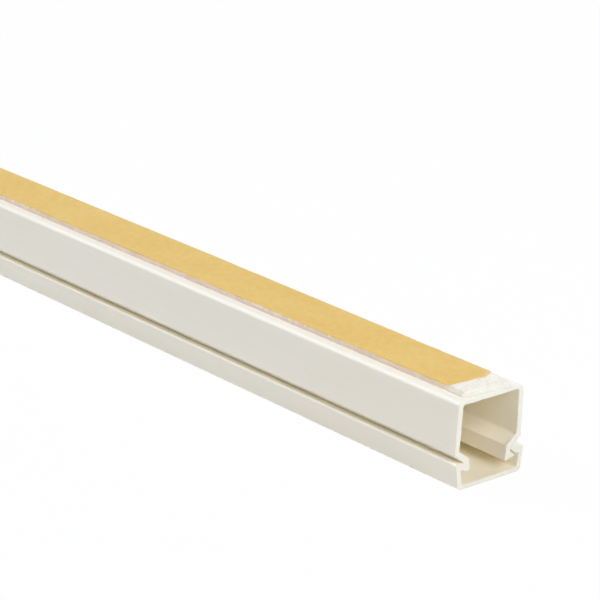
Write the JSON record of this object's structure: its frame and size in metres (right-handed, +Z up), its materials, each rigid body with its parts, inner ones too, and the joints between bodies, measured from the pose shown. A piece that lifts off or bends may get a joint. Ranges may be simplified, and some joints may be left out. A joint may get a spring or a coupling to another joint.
{
  "type": "cord cover raceway",
  "caption": "Length of square one-piece PVC cord raceway with a hinged cover that latches shut and a foam mounting tape under a torn paper liner on its back.",
  "frame": {"origin": "middle of the length and width, on the outer face of the cover, which the raceway lies on", "axes": "+X along the stock towards the end where the liner is peeled back, +Y across it from the hinge to the latch, +Z up from the cover to the mounting tape"},
  "size_m": [0.4, 0.0191, 0.0196],
  "materials": {
    "pvc": "satin",
    "foam": "satin",
    "liner": "matte"
  },
  "bodies": {
    "root": {"raceway": "pvc", "foam_tape": "foam", "release_liner": "liner"}
  },
  "joints": []
}
